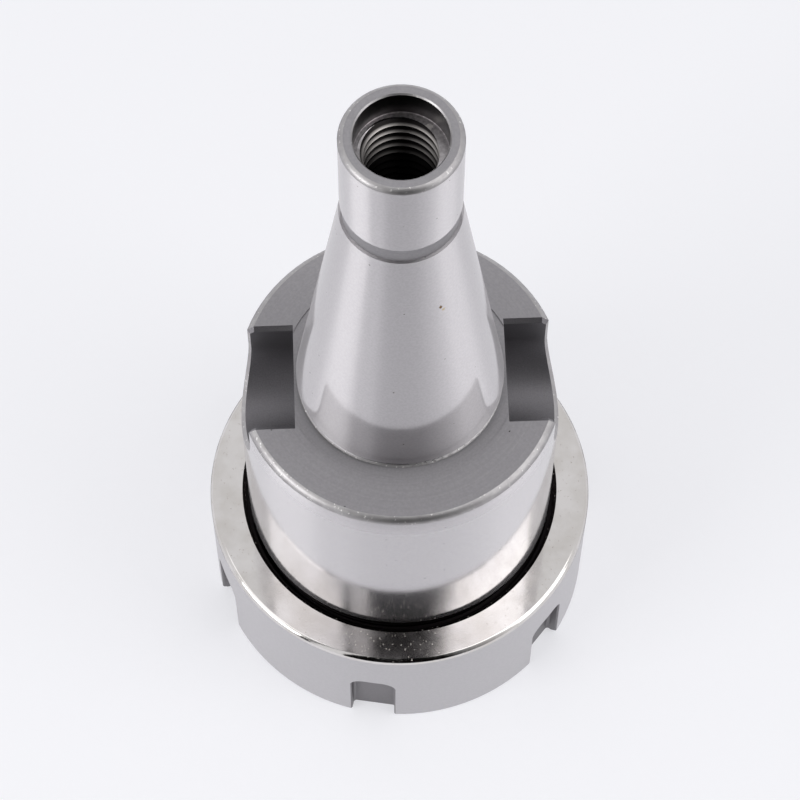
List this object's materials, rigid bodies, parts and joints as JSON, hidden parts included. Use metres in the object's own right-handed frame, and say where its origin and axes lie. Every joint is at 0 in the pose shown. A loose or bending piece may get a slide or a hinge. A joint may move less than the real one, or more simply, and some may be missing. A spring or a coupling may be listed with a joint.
{
  "type": "collet chuck holder",
  "caption": "Steel spindle taper holder with drive slots, a slit collet and a screw-on clamping nut that grips round tool shanks.",
  "frame": {"origin": "centre of the clamping nut's front face, on the spindle axis; the chuck stands on that face", "axes": "+Z along the spindle axis towards the drawbar end; the two drive slots lie on +X and -X"},
  "size_m": [0.063, 0.063, 0.137],
  "materials": {
    "ground_steel": "hardened steel, ground taper and sides, turned faces",
    "polished_steel": "satin side with a polished rear ring",
    "collet_steel": "ground spring steel"
  },
  "bodies": {
    "chuck_body": {"chuck_body": "ground_steel"},
    "collet": {"collet": "collet_steel"},
    "clamping_nut": {"clamping_nut": "polished_steel"}
  },
  "joints": [
    {"name": "nut_travel", "type": "slide", "parent": "chuck_body", "child": "collet", "axis": [0, 0, -1], "range_m": [0, 0.00825]},
    {"name": "nut_turn", "type": "hinge", "parent": "collet", "child": "clamping_nut", "pos_m": [0, 0, 0], "axis": [0, 0, -1], "range_deg": [0, 1980]}
  ],
  "couplings": [
    {"joint": "nut_travel", "follows": "nut_turn", "m_per_rad": 0.00023873}
  ]
}
